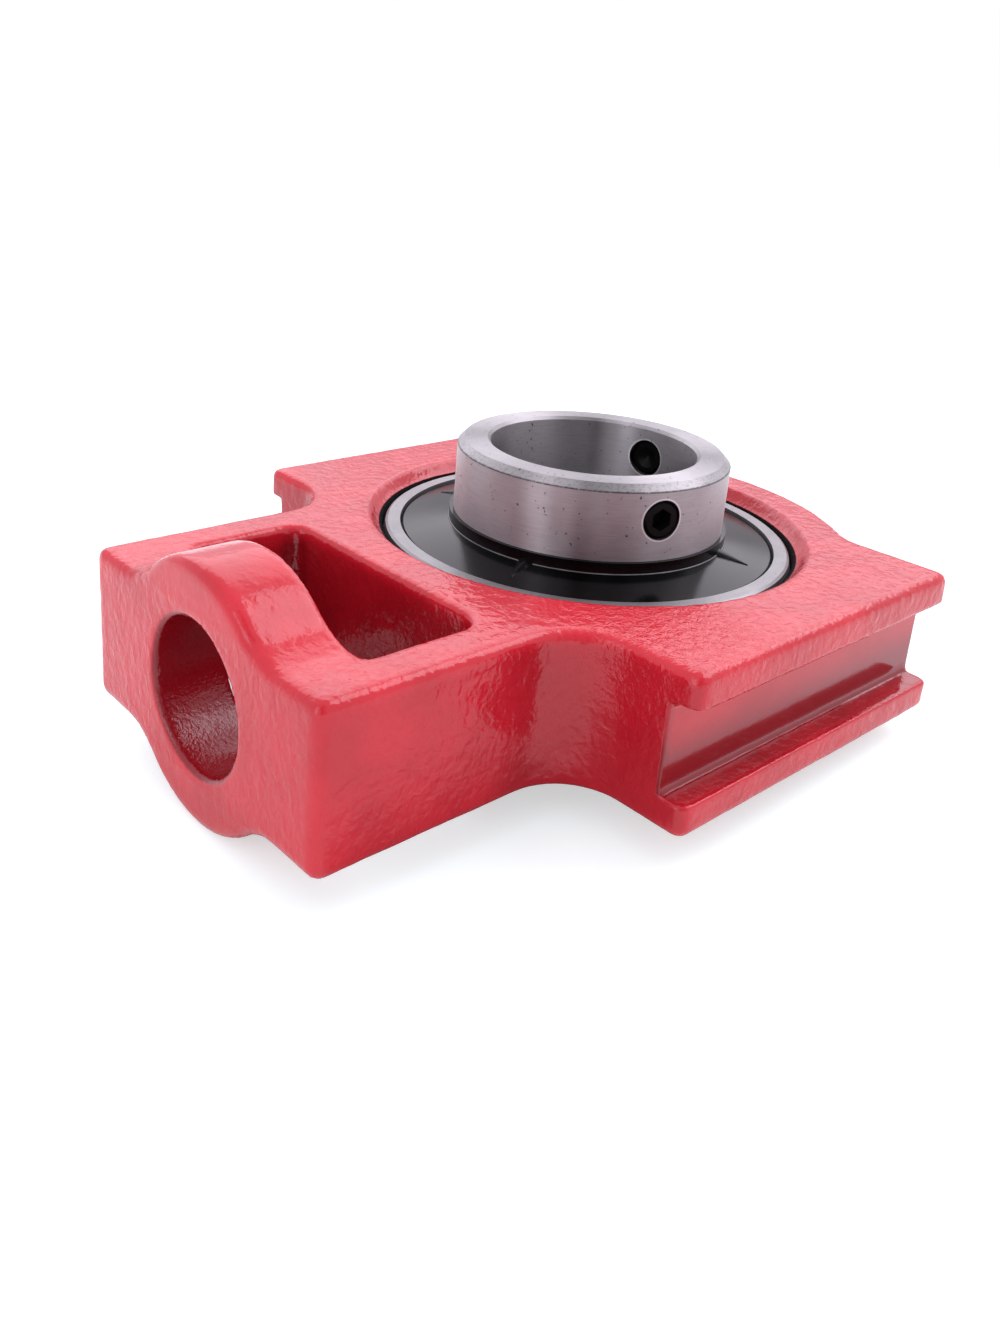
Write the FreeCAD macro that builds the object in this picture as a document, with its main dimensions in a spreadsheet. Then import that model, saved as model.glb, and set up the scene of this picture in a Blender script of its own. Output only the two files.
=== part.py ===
import FreeCAD, Part
import Sketcher
import math
import os
import re

# Take up bearing unit: a cast housing that slides between two rails and is pulled along by
# a screw through its lug, and a self-aligning ball bearing insert in its spherical seat.
# Millimetres. The origin is the centre of the bearing. +Z runs along the shaft to the side
# with the set screws, +X points away from the screw lug, and the rails are at -Y and +Y.

doc = FreeCAD.newDocument("TakeUpBearingUnit")
sheet = doc.addObject("Spreadsheet::Sheet", "Sizes")

sizeTable = [
    # Cast housing
    ("lugReach", 119, "shaft axis to the free face of the screw lug"),
    ("lugWidth", 93, "lug from flank to flank"),
    ("bodyThick", 38.2, "thickness of the flat casting"),
    ("railLength", 102, "length of the two guide rails"),
    ("bodyWidth", 158, "across the outer faces of the rails"),
    ("slotBottomWidth", 144, "between the bottoms of the two rail slots"),
    ("slotWidth", 21.5, "width of each rail slot"),
    ("roundEndReach", 71, "radius of the round end away from the lug"),
    ("lugWall", 19, "thickness of the end wall that the screw passes"),
    ("windowLength", 30, "nut window along the pull"),
    ("windowWidth", 69, "nut window across the pull"),
    ("screwHole", 35, "cored hole for the take up screw"),
    ("screwBoss", 61.5, "diameter of the boss round that hole"),
    ("bossRunout", 0.7, "from the end of the boss's hollow to the corner of the window"),
    ("flankFillet", 15, "hollow between lug flank and rail end"),
    ("endFillet", 11, "hollow between rail end and round end"),
    ("cornerRound", 3, "upright outer corners"),
    ("rimRound", 2.6, "outer edges of the flat faces"),
    ("windowCorner", 2, "upright corners of the window at the end wall"),
    ("windowInnerCorner", 5, "upright corners of the window towards the bearing"),
    ("windowRound", 1.8, "mouth of the window"),
    ("slotRound", 1, "inner corners of the rail slots"),
    ("holeRound", 0.9, "mouth of the screw hole"),
    # Seat and dish round the bearing
    ("seatClearance", 0.03, "between seat and outer ring, on the radius"),
    ("seatHalfWidth", 13.2, "centre plane to the end of the spherical seat"),
    ("lipHeight", 15.5, "centre plane to the lip round the seat"),
    ("mouthFlare", 0.33, "seat wider at its mouths, on the radius"),
    ("lipOutside", 117, "outside of the flat lip"),
    ("trenchDiameter", 121, "middle of the trench round the lip"),
    ("trenchHeight", 14.8, "centre plane to the floor of the trench"),
    ("trenchRound", 1.6, "floor of the trench"),
    ("dishDiameter", 131, "where the dish runs out on the flat face"),
    ("dishRound", 5, "run-out of the dish"),
    ("notchClearance", 0.3, "outer ring in a loading notch, on each side"),
    ("notchFlare", 3.27, "loading notches wider at their mouths, on the radius"),
    ("notchAngle", 120, "direction of the loading notches from +X"),
    # Grease path
    ("greaseHeight", 8.2, "grease hole above the centre plane"),
    ("greaseDrill", 3.4, "hole through the wall to the seat"),
    ("seatGrooveWidth", 4, "grease groove in the seat"),
    ("seatGrooveDepth", 1, "depth of that groove"),
    ("greaseHole", 2.4, "grease hole through the outer ring"),
    ("spotFace", 11, "flat on the round end under the nipple"),
    ("spotFaceDepth", 0.9, "depth of that flat"),
    ("nippleThread", 6, "diameter of the nipple's thread"),
    ("nippleThreadLength", 5.5, "threaded length of the nipple"),
    ("nippleClearance", 0.05, "thread in its hole, on the radius"),
    ("tappingRunout", 1, "tapped hole beyond the end of the nipple"),
    ("nippleHex", 8, "nipple across its flats"),
    ("nippleHexHeight", 3.6, "height of the nipple's hexagon"),
    ("nippleNeck", 4.2, "neck under the nipple's head"),
    ("nippleHead", 6.4, "widest part of the nipple's head"),
    ("nippleHeight", 9.4, "nipple above its flat"),
    ("nippleMouth", 1.6, "mouth of the nipple"),
    ("nippleMouthDepth", 0.6, "depth of the mouth down to the check ball"),
    ("nippleBore", 2.4, "bore in the threaded end of the nipple"),
    # Bearing insert
    ("shaftBore", 55, "bore for a 55 mm shaft"),
    ("innerRingOutside", 72.4, "outside of the inner ring"),
    ("longSide", 39.7, "centre plane to the face with the set screws"),
    ("shortSide", 25.4, "centre plane to the other face"),
    ("innerChamfer", 1.8, "outer edges of the inner ring"),
    ("boreChamfer", 0.8, "bore edges of the inner ring"),
    ("outerSphere", 113, "spherical outside of the outer ring"),
    ("outerRingWidth", 32, "width of the outer ring"),
    ("outerChamfer", 0.5, "outer edges of the outer ring"),
    ("outerWall", 8.1, "outer ring beside its raceway, from the sphere to its bore"),
    ("sealSeatDepth", 4.6, "depth of the seal seat in each face"),
    ("sealSeatStep", 2, "seal seat wider than the bore of the outer ring, on the radius"),
    ("ballDiameter", 15.875, "balls of 5/8 inch"),
    ("pitchOffset", 0.4, "circle of the ball centres outside the middle between the rings"),
    ("racewayRadius", 8.175, "section radius of both raceways"),
    ("raceClearance", 0.02, "between each ball and each raceway"),
    # Cage
    ("cageThick", 1.2, "sheet of the cage"),
    ("cageShare", 0.54, "share of the space between the rings that the cage takes"),
    ("pocketClearance", 0.2, "ball in its pocket, on the radius"),
    ("rivetDiameter", 1.8, "cage rivets"),
    ("rivetHead", 3, "rivet heads"),
    ("rivetHeadHeight", 0.8, "height of a rivet head"),
    ("rivetClearance", 0.04, "rivet in its hole, on the radius"),
    # Seals and flingers
    ("sealThick", 1.6, "thickness of a seal"),
    ("sealFit", 0.02, "seal in its seat, on the radius"),
    ("sealLipGap", 0.25, "seal lip over the inner ring"),
    ("sealDish", 0.7, "dish in the middle of a seal"),
    ("sealRim", 2.5, "flat rim of a seal"),
    ("flingerThick", 1.2, "sheet of a flinger"),
    ("flingerRecess", 0.6, "flinger below the face of the outer ring"),
    ("flingerGap", 0.4, "flinger inside the outer ring, on the radius"),
    ("flingerFit", 0.02, "flinger on the inner ring, on the radius"),
    ("flingerRim", 0.5, "bevel at the rim of a flinger"),
    ("collarThick", 1.1, "collar of a flinger"),
    ("flingerRise", 2, "flinger higher at its collar than at its rim"),
    ("collarHeight", 4.9, "collar above the rim of the flinger"),
    ("pleatShare", 0.64, "share of the flinger's width that a pleat crosses"),
    ("pleatWidth", 5.2, "width of a pleat at the collar"),
    ("pleatTip", 0.4, "width of a pleat at its far end"),
    ("pleatLevel", 0.7, "middle of a pleat above the rim of the flinger"),
    ("pleatDepth", 0.4, "pleat below that level"),
    ("pleatAngle", 20, "direction of the first pleat from +X"),
    # Set screws
    ("setScrew", 10, "diameter of the set screws"),
    ("setScrewLength", 8, "length of a set screw"),
    ("setScrewFit", 0.05, "set screw in its hole, on the radius"),
    ("setScrewInset", 0.45, "tip of the screw behind the bore"),
    ("setScrewFromFace", 9, "set screws from the long face"),
    ("setScrewAngle", 7.5, "direction of the first set screw from +X"),
    ("setScrewSpread", 116, "angle between the set screws"),
    ("socketFlats", 5, "hexagon socket across its flats"),
    ("socketDepth", 4.2, "depth of the socket"),
    ("cupDiameter", 6, "cup point of a set screw"),
    ("cupDepth", 1.4, "depth of the cup"),
    ("screwChamfer", 0.8, "edges of a set screw"),
]
ballCount = 10
pleatCount = 4

for row, (alias, value, note) in enumerate(sizeTable, start=1):
    sheet.set("A%d" % row, alias)
    sheet.set("B%d" % row, str(value))
    sheet.set("C%d" % row, note)
    sheet.setAlias("B%d" % row, alias)
doc.recompute()

aliases = {alias for alias, value, note in sizeTable}
size = {alias: float(sheet.get(alias)) for alias in aliases}

# Bore of the outer ring, bore of its seal seats, and the circle of the ball centres between
# the inner and the outer ring
landRadius = "(outerSphere / 2 - outerWall)"
sealSeatRadius = "(outerSphere / 2 - outerWall + sealSeatStep)"
pitchRadius = "((innerRingOutside / 2 + %s + pitchOffset) / 2)" % landRadius


# A size named in an expression is read from the sheet
def fromSheet(text):
    return re.sub(r"[A-Za-z]\w*", lambda found: sheetName(found.group()), text)


def sheetName(word):
    return "Sizes." + word if word in aliases else word


def bind(thing, **expressions):
    for prop, text in expressions.items():
        thing.setExpression(prop, fromSheet(text))


def bindPlace(thing, x="0", y="0", z="0"):
    thing.setExpression("Placement.Base.x", fromSheet(x))
    thing.setExpression("Placement.Base.y", fromSheet(y))
    thing.setExpression("Placement.Base.z", fromSheet(z))


def turn(axis, degrees):
    return FreeCAD.Rotation(FreeCAD.Vector(*axis), degrees)


upright = turn((0, 0, 1), 0)
alongX = turn((0, 1, 0), 90)


# Blocks take each side as a pair of expressions, low and high
def block(name, x, y, z):
    solid = doc.addObject("Part::Box", name)
    bind(solid, Length="(%s) - (%s)" % (x[1], x[0]))
    bind(solid, Width="(%s) - (%s)" % (y[1], y[0]))
    bind(solid, Height="(%s) - (%s)" % (z[1], z[0]))
    bindPlace(solid, x[0], y[0], z[0])
    return solid


def rod(name, radius, length, rotation=upright, x="0", y="0", z="0"):
    solid = doc.addObject("Part::Cylinder", name)
    solid.Placement.Rotation = rotation
    bind(solid, Radius=radius, Height=length)
    bindPlace(solid, x, y, z)
    return solid


def cone(name, radiusLow, radiusHigh, length, rotation=upright, x="0", y="0", z="0"):
    solid = doc.addObject("Part::Cone", name)
    solid.Placement.Rotation = rotation
    bind(solid, Radius1=radiusLow, Radius2=radiusHigh, Height=length)
    bindPlace(solid, x, y, z)
    return solid


def sphere(name, radius, x="0", y="0", z="0"):
    solid = doc.addObject("Part::Sphere", name)
    bind(solid, Radius=radius)
    bindPlace(solid, x, y, z)
    return solid


def torus(name, radius, section):
    solid = doc.addObject("Part::Torus", name)
    bind(solid, Radius1=radius, Radius2=section)
    return solid


def hexagon(name, flats, height, rotation=upright, x="0"):
    solid = doc.addObject("Part::Prism", name)
    solid.Polygon = 6
    solid.Placement.Rotation = rotation
    bind(solid, Circumradius=flats + " / 2 / cos(30)", Height=height)
    bindPlace(solid, x)
    return solid


def fuse(name, shapes):
    joined = doc.addObject("Part::MultiFuse", name)
    joined.Shapes = shapes
    joined.Refine = True
    doc.recompute()
    return joined


def cut(name, base, tool):
    less = doc.addObject("Part::Cut", name)
    less.Base = base
    less.Tool = tool
    less.Refine = True
    doc.recompute()
    return less


def common(name, one, other):
    shared = doc.addObject("Part::Common", name)
    shared.Base = one
    shared.Tool = other
    doc.recompute()
    return shared


def mirrored(name, source):
    image = doc.addObject("Part::Mirroring", name)
    image.Source = source
    image.Normal = FreeCAD.Vector(0, 0, 1)
    doc.recompute()
    return image


# Rounds or bevels the edges of a solid that a test picks, all by one size
def easeEdges(name, base, amount, picks, kind="Part::Fillet"):
    eased = doc.addObject(kind, name)
    eased.Base = base
    chosen = [number for number, edge in enumerate(base.Shape.Edges, start=1) if picks(edge)]
    eased.Edges = [(number, size[amount], size[amount]) for number in chosen]
    doc.recompute()
    return eased


def middle(edge):
    return edge.valueAt((edge.FirstParameter + edge.LastParameter) / 2)


def near(value, target, margin=0.02):
    return abs(value - target) < margin


def isUpright(edge):
    box = edge.BoundBox
    return near(box.XLength, 0) and near(box.YLength, 0) and box.ZLength > 1


def isLevel(edge):
    return near(edge.BoundBox.ZLength, 0)


# A turned piece: a closed outline of (radius, height) expressions, revolved about +Z
def turned(name, outline):
    body = doc.addObject("PartDesign::Body", name)
    sketch = body.newObject("Sketcher::SketchObject", name + "Outline")
    plane = next(item for item in body.Origin.OriginFeatures if item.Role == "XZ_Plane")
    sketch.AttachmentSupport = [(plane, "")]
    sketch.MapMode = "FlatFace"
    count = len(outline)
    corners = [outlineStart(index, count) for index in range(count)]
    for index, corner in enumerate(corners):
        sketch.addGeometry(Part.LineSegment(corner, corners[(index + 1) % count]), False)
    for index in range(count):
        sketch.addConstraint(Sketcher.Constraint("Coincident", index, 2, (index + 1) % count, 1))
    for index, (radius, height) in enumerate(outline):
        across = sketch.addConstraint(Sketcher.Constraint("DistanceX", -1, 1, index, 1, 1.0))
        sketch.setExpression("Constraints[%d]" % across, fromSheet(radius))
        up = sketch.addConstraint(Sketcher.Constraint("DistanceY", -1, 1, index, 1, 1.0))
        sketch.setExpression("Constraints[%d]" % up, fromSheet(height))
    doc.recompute()
    turning = body.newObject("PartDesign::Revolution", name + "Turning")
    turning.Profile = sketch
    turning.ReferenceAxis = (sketch, ["V_Axis"])
    turning.Angle = 360
    body.Tip = turning
    doc.recompute()
    return body


# Corners start on a circle beside the axis, in order, and the dimensions then draw them into place
def outlineStart(index, count):
    angle = 2 * math.pi * index / count
    away = size["shaftBore"]
    spread = size["ballDiameter"]
    return FreeCAD.Vector(away + spread * math.cos(angle), spread * math.sin(angle), 0)


# Gives the finished solid the name of its node and its place
def finish(solid, label, rotation=upright, x="0", z="0"):
    solid.Label = label
    solid.Placement.Rotation = rotation
    bindPlace(solid, x, "0", z)
    doc.recompute()
    finished.append(solid)
    return solid


finished = []


# Housing: one iron casting, alike above and below its centre plane but for the notches

def castBody():
    half = "bodyThick / 2"
    rails = block(
        "rails", ("-railLength / 2", "railLength / 2"),
        ("-bodyWidth / 2", "bodyWidth / 2"), ("-" + half, half),
    )
    lug = block("lug", ("-lugReach", "0"), ("-lugWidth / 2", "lugWidth / 2"), ("-" + half, half))
    roundEnd = rod("roundEnd", "roundEndReach", "bodyThick", turn((0, 0, 1), -90), z="-" + half)
    roundEnd.Angle = 180
    plain = fuse("plainCasting", [rails, lug, roundEnd, screwLugBoss()])
    railEnd = size["railLength"] / 2
    lugFlank = size["lugWidth"] / 2
    flat = size["bodyThick"] / 2
    lugFace = -size["lugReach"]

    def lugRoot(edge):
        point = middle(edge)
        return isUpright(edge) and near(abs(point.y), lugFlank) and near(point.x, -railEnd)

    def endRoot(edge):
        point = middle(edge)
        onRound = near(math.hypot(point.x, point.y), size["roundEndReach"])
        return isUpright(edge) and onRound and near(point.x, railEnd)

    def outerCorner(edge):
        point = middle(edge)
        lugCorner = near(point.x, lugFace) and near(abs(point.y), lugFlank)
        railCorner = near(abs(point.x), railEnd) and near(abs(point.y), size["bodyWidth"] / 2)
        return isUpright(edge) and (lugCorner or railCorner)

    def outerRim(edge):
        point = middle(edge)
        box = edge.BoundBox
        onFlat = near(abs(point.z), flat) and isLevel(edge)
        besideBoss = near(box.YLength, 0) and abs(point.y) < lugFlank - 1
        behindBoss = near(box.XLength, 0) and near(point.x, lugFace + size["lugWall"])
        onLugFace = near(point.x, lugFace) and near(box.XLength, 0)
        return onLugFace or (onFlat and not besideBoss and not behindBoss)

    hollowed = easeEdges("lugRoots", plain, "flankFillet", lugRoot)
    ended = easeEdges("endRoots", hollowed, "endFillet", endRoot)
    cornered = easeEdges("outerCorners", ended, "cornerRound", outerCorner)
    return easeEdges("outerRims", cornered, "rimRound", outerRim)


# The boss stands out of both flat faces and runs into them in a hollow on each side, which
# ends just inside the corners of the window behind it
def screwLugBoss():
    reach = "(windowWidth / 2 - windowCorner - bossRunout)"
    hollow = "((%s ^ 2 + bodyThick ^ 2 / 4 - screwBoss ^ 2 / 4) / (screwBoss - bodyThick))" % reach
    height = "(bodyThick / 2 + %s) * screwBoss / (screwBoss + 2 * %s)" % (hollow, hollow)
    barrel = rod("bossBarrel", "screwBoss / 2", "lugWall", alongX, x="-lugReach")
    shoulders = block(
        "bossShoulders", ("-lugReach", "-lugReach + lugWall"),
        ("-" + reach, reach), ("-" + height, height),
    )
    hollows = []
    for side in ("-", ""):
        for face in ("-", ""):
            hollows.append(rod(
                "bossHollow", hollow, "lugWall", alongX,
                x="-lugReach", y=side + reach, z="%s(bodyThick / 2 + %s)" % (face, hollow),
            ))
    return fuse("screwLugBoss", [barrel, cut("bossSides", shoulders, fuse("bossHollows", hollows))])


# The nut of the take up screw sits in this window
def windowHole():
    start = "-lugReach + lugWall"
    window = block(
        "window", (start, start + " + windowLength"),
        ("-windowWidth / 2", "windowWidth / 2"), ("-bodyThick", "bodyThick"),
    )
    doc.recompute()
    wall = -size["lugReach"] + size["lugWall"]

    def atWall(edge):
        return isUpright(edge) and near(middle(edge).x, wall)

    def awayFromWall(edge):
        return isUpright(edge) and near(middle(edge).x, wall + size["windowLength"])

    walled = easeEdges("windowWallCorners", window, "windowCorner", atWall)
    return easeEdges("windowHole", walled, "windowInnerCorner", awayFromWall)


def seatHole():
    radius = "outerSphere / 2 + seatClearance"
    edge = "sqrt((%s) ^ 2 - seatHalfWidth ^ 2)" % radius
    rise = "lipHeight - seatHalfWidth"
    limit = rod("seatLimit", "outerSphere", "2 * seatHalfWidth", z="-seatHalfWidth")
    band = common("seatBand", sphere("seatSphere", radius), limit)
    mouth = edge + " + mouthFlare"
    upper = cone("seatMouthUpper", edge, mouth, rise, z="seatHalfWidth")
    lower = cone("seatMouthLower", mouth, edge, rise, z="-lipHeight")
    groove = rod(
        "seatGroove", "sqrt((%s) ^ 2 - greaseHeight ^ 2) + seatGrooveDepth" % radius,
        "seatGrooveWidth", z="greaseHeight - seatGrooveWidth / 2",
    )
    return fuse("seatHole", [band, upper, lower, groove])


# The flat face sinks in a dish to a trench and a lip round the seat
def dish(name, side):
    solid = turned(name, [
        ("0", side + "lipHeight"),
        ("lipOutside / 2", side + "lipHeight"),
        ("trenchDiameter / 2", side + "trenchHeight"),
        ("dishDiameter / 2", side + "bodyThick / 2"),
        ("dishDiameter / 2", side + "bodyThick"),
        ("0", side + "bodyThick"),
    ])

    def trenchFloor(edge):
        return near(abs(middle(edge).z), size["trenchHeight"]) and isLevel(edge)

    return easeEdges(name + "Trench", solid, "trenchRound", trenchFloor)


# The outer ring goes in edge on through these two notches, on the side away from the set
# screws, and is then turned flat
def loadingNotches():
    seat = "outerSphere / 2 + seatClearance"
    flare = cone("notchFlares", seat + " + notchFlare", seat, "lipHeight", z="-lipHeight")
    half = "(outerRingWidth / 2 + notchClearance)"
    slab = block(
        "notchSlab", ("-outerSphere", "outerSphere"), ("-" + half, half), ("-bodyThick", "0"),
    )
    notches = common("loadingNotches", flare, slab)
    notches.Placement.Rotation = turn((0, 0, 1), size["notchAngle"])
    return notches


def railSlot(name, across):
    slot = block(name, ("-railLength", "railLength"), across, ("-slotWidth / 2", "slotWidth / 2"))
    doc.recompute()

    def insideCorner(edge):
        onBottom = near(abs(middle(edge).y), size["slotBottomWidth"] / 2)
        return onBottom and edge.BoundBox.XLength > 1

    return easeEdges(name + "Shape", slot, "slotRound", insideCorner)


def screwPassage():
    hole = rod("screwPassage", "screwHole / 2", "lugWall", alongX, x="-lugReach")
    wide = "screwHole / 2 + holeRound"
    front = cone("passageFront", wide, "screwHole / 2", "holeRound", alongX, x="-lugReach")
    rear = cone(
        "passageRear", "screwHole / 2", wide, "holeRound", alongX, x="-lugReach + lugWall - holeRound",
    )
    return fuse("screwPassages", [hole, front, rear])


def greasePassage():
    face = "roundEndReach - spotFaceDepth"
    flat = rod("nippleFlat", "spotFace / 2", "2 * spotFaceDepth", alongX, x=face, z="greaseHeight")
    tapped = rod(
        "nippleTapping", "nippleThread / 2 + nippleClearance",
        "nippleThreadLength + tappingRunout + spotFaceDepth", alongX,
        x=face + " - nippleThreadLength - tappingRunout", z="greaseHeight",
    )
    drilled = rod(
        "greaseDrilling", "greaseDrill / 2", face + " - " + pitchRadius, alongX,
        x=pitchRadius, z="greaseHeight",
    )
    return fuse("greasePassage", [flat, tapped, drilled])


def makeHousing():
    windowed = cut("windowed", castBody(), windowHole())
    front = -size["lugReach"] + size["lugWall"]
    rear = front + size["windowLength"]
    side = size["windowWidth"] / 2
    flat = size["bodyThick"] / 2

    def windowMouth(edge):
        box = edge.BoundBox
        height = abs(middle(edge).z)
        alongWindow = front - 0.1 < box.XMin and box.XMax < rear + 0.1
        acrossWindow = -side - 0.1 < box.YMin and box.YMax < side + 0.1
        onFlat = near(height, flat) and isLevel(edge)
        onBoss = near(box.XMin, front) and near(box.XLength, 0) and height > flat
        return alongWindow and acrossWindow and (onFlat or onBoss)

    def dishRim(edge):
        point = middle(edge)
        onRim = near(math.hypot(point.x, point.y), size["dishDiameter"] / 2)
        return onRim and isLevel(edge) and near(abs(point.z), flat)

    mouthed = easeEdges("windowMouths", windowed, "windowRound", windowMouth)
    dishes = fuse("dishes", [dish("dishUpper", ""), dish("dishLower", "-")])
    dished = cut("dished", mouthed, dishes)
    softened = easeEdges("dishRims", dished, "dishRound", dishRim)
    holes = fuse("machining", [
        seatHole(),
        loadingNotches(),
        railSlot("farSlot", ("slotBottomWidth / 2", "bodyWidth")),
        railSlot("nearSlot", ("-bodyWidth", "-slotBottomWidth / 2")),
        screwPassage(),
        greasePassage(),
    ])
    return finish(cut("casting", softened, holes), "housing")


# Grease nipple: screwed into the round end, its check ball crimped inside

def makeGreaseNipple():
    above = "(nippleHeight - nippleHexHeight)"
    shank = turned("nippleShank", [
        ("nippleBore / 2", "-nippleThreadLength"),
        ("nippleThread / 2", "-nippleThreadLength"),
        ("nippleThread / 2", "0"),
        ("nippleNeck / 2", "0"),
        ("nippleNeck / 2", "nippleHexHeight + 0.3 * " + above),
        ("nippleHead / 2", "nippleHexHeight + 0.6 * " + above),
        ("nippleHead / 2", "nippleHexHeight + 0.7 * " + above),
        ("nippleMouth", "nippleHeight"),
        ("nippleMouth / 2", "nippleHeight"),
        ("nippleMouth / 2", "nippleHeight - nippleMouthDepth"),
        ("0", "nippleHeight - nippleMouthDepth"),
        ("0", "0"),
        ("nippleBore / 2", "0"),
    ])
    nipple = fuse("nipple", [shank, hexagon("nippleHexagon", "nippleHex", "nippleHexHeight")])
    return finish(nipple, "grease_nipple", alongX, "roundEndReach - spotFaceDepth", "greaseHeight")


# Outer ring: spherical outside, deep raceway, a seal seat in each face

def makeOuterRing():
    face = "outerRingWidth / 2"
    shoulder = "(outerRingWidth / 2 - sealSeatDepth)"
    blank = turned("outerBlank", [
        (landRadius, "-" + shoulder),
        (sealSeatRadius, "-" + shoulder),
        (sealSeatRadius, "-" + face),
        ("outerSphere / 2", "-" + face),
        ("outerSphere / 2", face),
        (sealSeatRadius, face),
        (sealSeatRadius, shoulder),
        (landRadius, shoulder),
    ])
    ground = common("outerGround", blank, sphere("outerBall", "outerSphere / 2"))

    sealSeat = size["outerSphere"] / 2 - size["outerWall"] + size["sealSeatStep"]

    def outerEdge(edge):
        point = middle(edge)
        onOutside = math.hypot(point.x, point.y) > sealSeat + size["outerChamfer"]
        return onOutside and isLevel(edge) and near(abs(point.z), size["outerRingWidth"] / 2)

    bevelled = easeEdges("outerBevels", ground, "outerChamfer", outerEdge, "Part::Chamfer")
    raceway = torus(
        "outerRaceway", pitchRadius + " + ballDiameter / 2 + raceClearance - racewayRadius",
        "racewayRadius",
    )
    grease = rod(
        "outerGreaseHoles", "greaseHole / 2", "outerSphere + 2", alongX,
        x="-outerSphere / 2 - 1", z="greaseHeight",
    )
    return finish(cut("outerRing", bevelled, fuse("outerCuts", [raceway, grease])), "outer_ring")


# Inner ring: the shaft goes through it, and its long side takes the set screws

def makeInnerRing():
    blank = turned("innerBlank", [
        ("shaftBore / 2", "-shortSide + boreChamfer"),
        ("shaftBore / 2 + boreChamfer", "-shortSide"),
        ("innerRingOutside / 2 - innerChamfer", "-shortSide"),
        ("innerRingOutside / 2", "-shortSide + innerChamfer"),
        ("innerRingOutside / 2", "longSide - innerChamfer"),
        ("innerRingOutside / 2 - innerChamfer", "longSide"),
        ("shaftBore / 2 + boreChamfer", "longSide"),
        ("shaftBore / 2", "longSide - boreChamfer"),
    ])
    raceway = torus(
        "innerRaceway", pitchRadius + " - ballDiameter / 2 - raceClearance + racewayRadius",
        "racewayRadius",
    )
    tools = [raceway]
    for number, angle in enumerate(screwAngles(), start=1):
        hole = rod(
            "screwTapping%d" % number, "setScrew / 2 + setScrewFit", "innerRingOutside",
            turn((0, 0, 1), angle) * alongX, z="longSide - setScrewFromFace",
        )
        tools.append(hole)
    return finish(cut("innerRing", blank, fuse("innerCuts", tools)), "inner_ring")


def screwAngles():
    first = size["setScrewAngle"]
    return (first, first - size["setScrewSpread"])


# Balls, evenly spaced, each its own piece

def makeBalls():
    for number in range(ballCount):
        angle = 360 / ballCount * number
        solid = sphere(
            "ball%02d" % (number + 1), "ballDiameter / 2",
            pitchRadius + " * cos(%g)" % angle, pitchRadius + " * sin(%g)" % angle,
        )
        solid.Label = "ball_%02d" % (number + 1)
        finished.append(solid)
    doc.recompute()


# Cage: two pressed halves that meet in the centre plane, riveted between the balls

def onPitchCircle(name, radius, angle):
    return sphere(
        name, radius, pitchRadius + " * cos(%g)" % angle, pitchRadius + " * sin(%g)" % angle,
    )


def makeCage():
    halfWidth = "cageShare * (%s - innerRingOutside / 2) / 2" % landRadius
    outside = pitchRadius + " + " + halfWidth
    inside = pitchRadius + " - " + halfWidth
    dome = "ballDiameter / 2 + pocketClearance + cageThick"
    tall = cut("cageTall", rod("cageTallOut", outside, dome), rod("cageTallIn", inside, dome))
    plate = cut(
        "cagePlate", rod("cagePlateOut", outside, "cageThick"), rod("cagePlateIn", inside, "cageThick"),
    )
    domes = []
    hollows = []
    for number in range(ballCount):
        angle = 360 / ballCount * number
        between = angle + 180 / ballCount
        domes.append(onPitchCircle("pocketDome", dome, angle))
        hollows.append(onPitchCircle("pocketHollow", "ballDiameter / 2 + pocketClearance", angle))
        hollows.append(rod(
            "rivetHole", "rivetDiameter / 2 + rivetClearance", "3 * cageThick",
            x=pitchRadius + " * cos(%g)" % between, y=pitchRadius + " * sin(%g)" % between,
            z="-cageThick",
        ))
    pockets = common("pockets", fuse("pocketDomes", domes), tall)
    pressed = cut("cagePressed", fuse("cageSheet", [plate, pockets]), fuse("cageHollows", hollows))
    finish(pressed, "cage_front")
    finish(mirrored("cageMirrored", pressed), "cage_rear")


def makeCageRivets():
    rivets = []
    for number in range(ballCount):
        between = 360 / ballCount * (number + 0.5)
        place = {
            "x": pitchRadius + " * cos(%g)" % between,
            "y": pitchRadius + " * sin(%g)" % between,
        }
        seat = "cageThick + rivetClearance"
        shank = rod("rivetShank", "rivetDiameter / 2", "2 * (%s)" % seat, z="-(%s)" % seat, **place)
        front = cone("rivetFront", "rivetHead / 2", "rivetDiameter / 2", "rivetHeadHeight", z=seat, **place)
        rear = cone(
            "rivetRear", "rivetDiameter / 2", "rivetHead / 2", "rivetHeadHeight",
            z="-(%s) - rivetHeadHeight" % seat, **place,
        )
        rivets.append(fuse("rivet", [shank, front, rear]))
    group = doc.addObject("Part::Compound", "rivets")
    group.Links = rivets
    finish(group, "cage_rivets")


# Seals: dished discs pressed into the outer ring, their lips just clear of the inner ring

def makeSeals():
    floor = "outerRingWidth / 2 - sealSeatDepth"
    top = floor + " + sealThick"
    outside = sealSeatRadius + " - sealFit"
    inside = "innerRingOutside / 2 + sealLipGap"
    seal = turned("sealRing", [
        (inside, floor + " - sealDish"),
        (landRadius + " - sealRim", floor + " - sealDish"),
        (landRadius + " - sealRim / 2", floor),
        (outside, floor),
        (outside, top),
        (landRadius + " - sealRim / 2", top),
        (landRadius + " - sealRim", top + " - sealDish"),
        (inside, top + " - sealDish"),
    ])
    finish(seal, "seal_front")
    finish(mirrored("sealMirrored", seal), "seal_rear")


# Flingers: black discs on the inner ring, creased at their collars

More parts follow.
